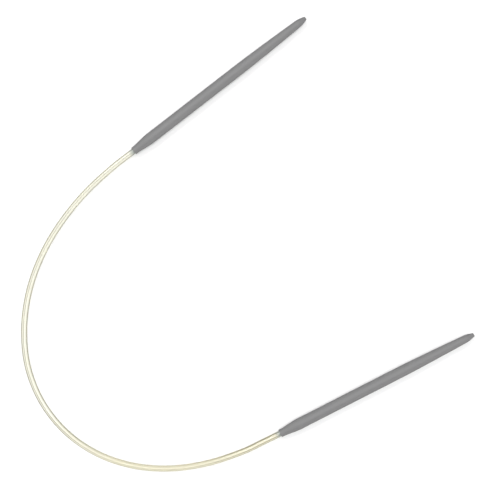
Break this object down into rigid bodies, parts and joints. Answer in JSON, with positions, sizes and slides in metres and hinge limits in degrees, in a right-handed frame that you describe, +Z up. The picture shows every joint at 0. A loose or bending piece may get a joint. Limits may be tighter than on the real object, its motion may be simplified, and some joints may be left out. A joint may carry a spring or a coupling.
{
  "type": "circular knitting needle",
  "caption": "Circular knitting needle: blunt-pointed coated aluminium tips with swaged shanks, joined by a flexible hollow nylon cable that lies in an open loop.",
  "frame": {"origin": "on the table, under the middle of the box round the tips and their pins, without the cable", "axes": "+X is the way the points face, out of the open loop; +Y runs across the loop, towards tip_a; +Z is up from the table"},
  "size_m": [0.1728, 0.1454, 0.0045],
  "materials": {
    "coated_aluminium": "satin",
    "ivory_nylon": "gloss",
    "steel_core": "satin"
  },
  "bodies": {
    "cable_middle": {"cable_span_4": "ivory_nylon"},
    "cable_a_inner": {"cable_span_3": "ivory_nylon"},
    "cable_a_outer": {"cable_span_2": "ivory_nylon"},
    "tip_a": {"tip_a": "coated_aluminium", "core_pin_a": "steel_core", "cable_span_1": "ivory_nylon"},
    "cable_b_inner": {"cable_span_5": "ivory_nylon"},
    "cable_b_middle": {"cable_span_6": "ivory_nylon"},
    "cable_b_outer": {"cable_span_7": "ivory_nylon"},
    "tip_b": {"tip_b": "coated_aluminium", "core_pin_b": "steel_core", "cable_span_8": "ivory_nylon"}
  },
  "joints": [
    {"name": "bend_a", "type": "hinge", "parent": "cable_middle", "child": "cable_a_inner", "pos_m": [-0.10841, 0.03205, 0.00121], "axis": [0, 0, 1], "range_deg": [-11, 11], "stiffness_Nm_per_rad": 0.06},
    {"name": "bend_a_outer", "type": "hinge", "parent": "cable_a_inner", "child": "cable_a_outer", "pos_m": [-0.08343, 0.05185, 0.00146], "axis": [0, 0, 1], "range_deg": [-8.25, 8.25], "stiffness_Nm_per_rad": 0.06},
    {"name": "lift_a", "type": "hinge", "parent": "cable_a_outer", "child": "tip_a", "pos_m": [-0.05295, 0.06157, 0.00213], "axis": [0.1615, -0.9869, 0], "range_deg": [0, 30], "stiffness_Nm_per_rad": 0.06},
    {"name": "bend_b", "type": "hinge", "parent": "cable_middle", "child": "cable_b_inner", "pos_m": [-0.12147, 0.00316, 0.00121], "axis": [0, 0, -1], "range_deg": [-11, 14], "stiffness_Nm_per_rad": 0.06},
    {"name": "bend_b_middle", "type": "hinge", "parent": "cable_b_inner", "child": "cable_b_middle", "pos_m": [-0.11595, -0.02798, 0.00121], "axis": [0, 0, -1], "range_deg": [-10.45, 13.3], "stiffness_Nm_per_rad": 0.06},
    {"name": "bend_b_outer", "type": "hinge", "parent": "cable_b_middle", "child": "cable_b_outer", "pos_m": [-0.09404, -0.05092, 0.00131], "axis": [0, 0, -1], "range_deg": [-8.8, 11.2], "stiffness_Nm_per_rad": 0.06},
    {"name": "lift_b", "type": "hinge", "parent": "cable_b_outer", "child": "tip_b", "pos_m": [-0.06395, -0.06158, 0.00193], "axis": [-0.1779, -0.9841, 0], "range_deg": [0, 30], "stiffness_Nm_per_rad": 0.06}
  ],
  "couplings": [
    {"joint": "bend_a_outer", "follows": "bend_a", "ratio": 0.75},
    {"joint": "bend_b_middle", "follows": "bend_b", "ratio": 0.95},
    {"joint": "bend_b_outer", "follows": "bend_b", "ratio": 0.8}
  ]
}
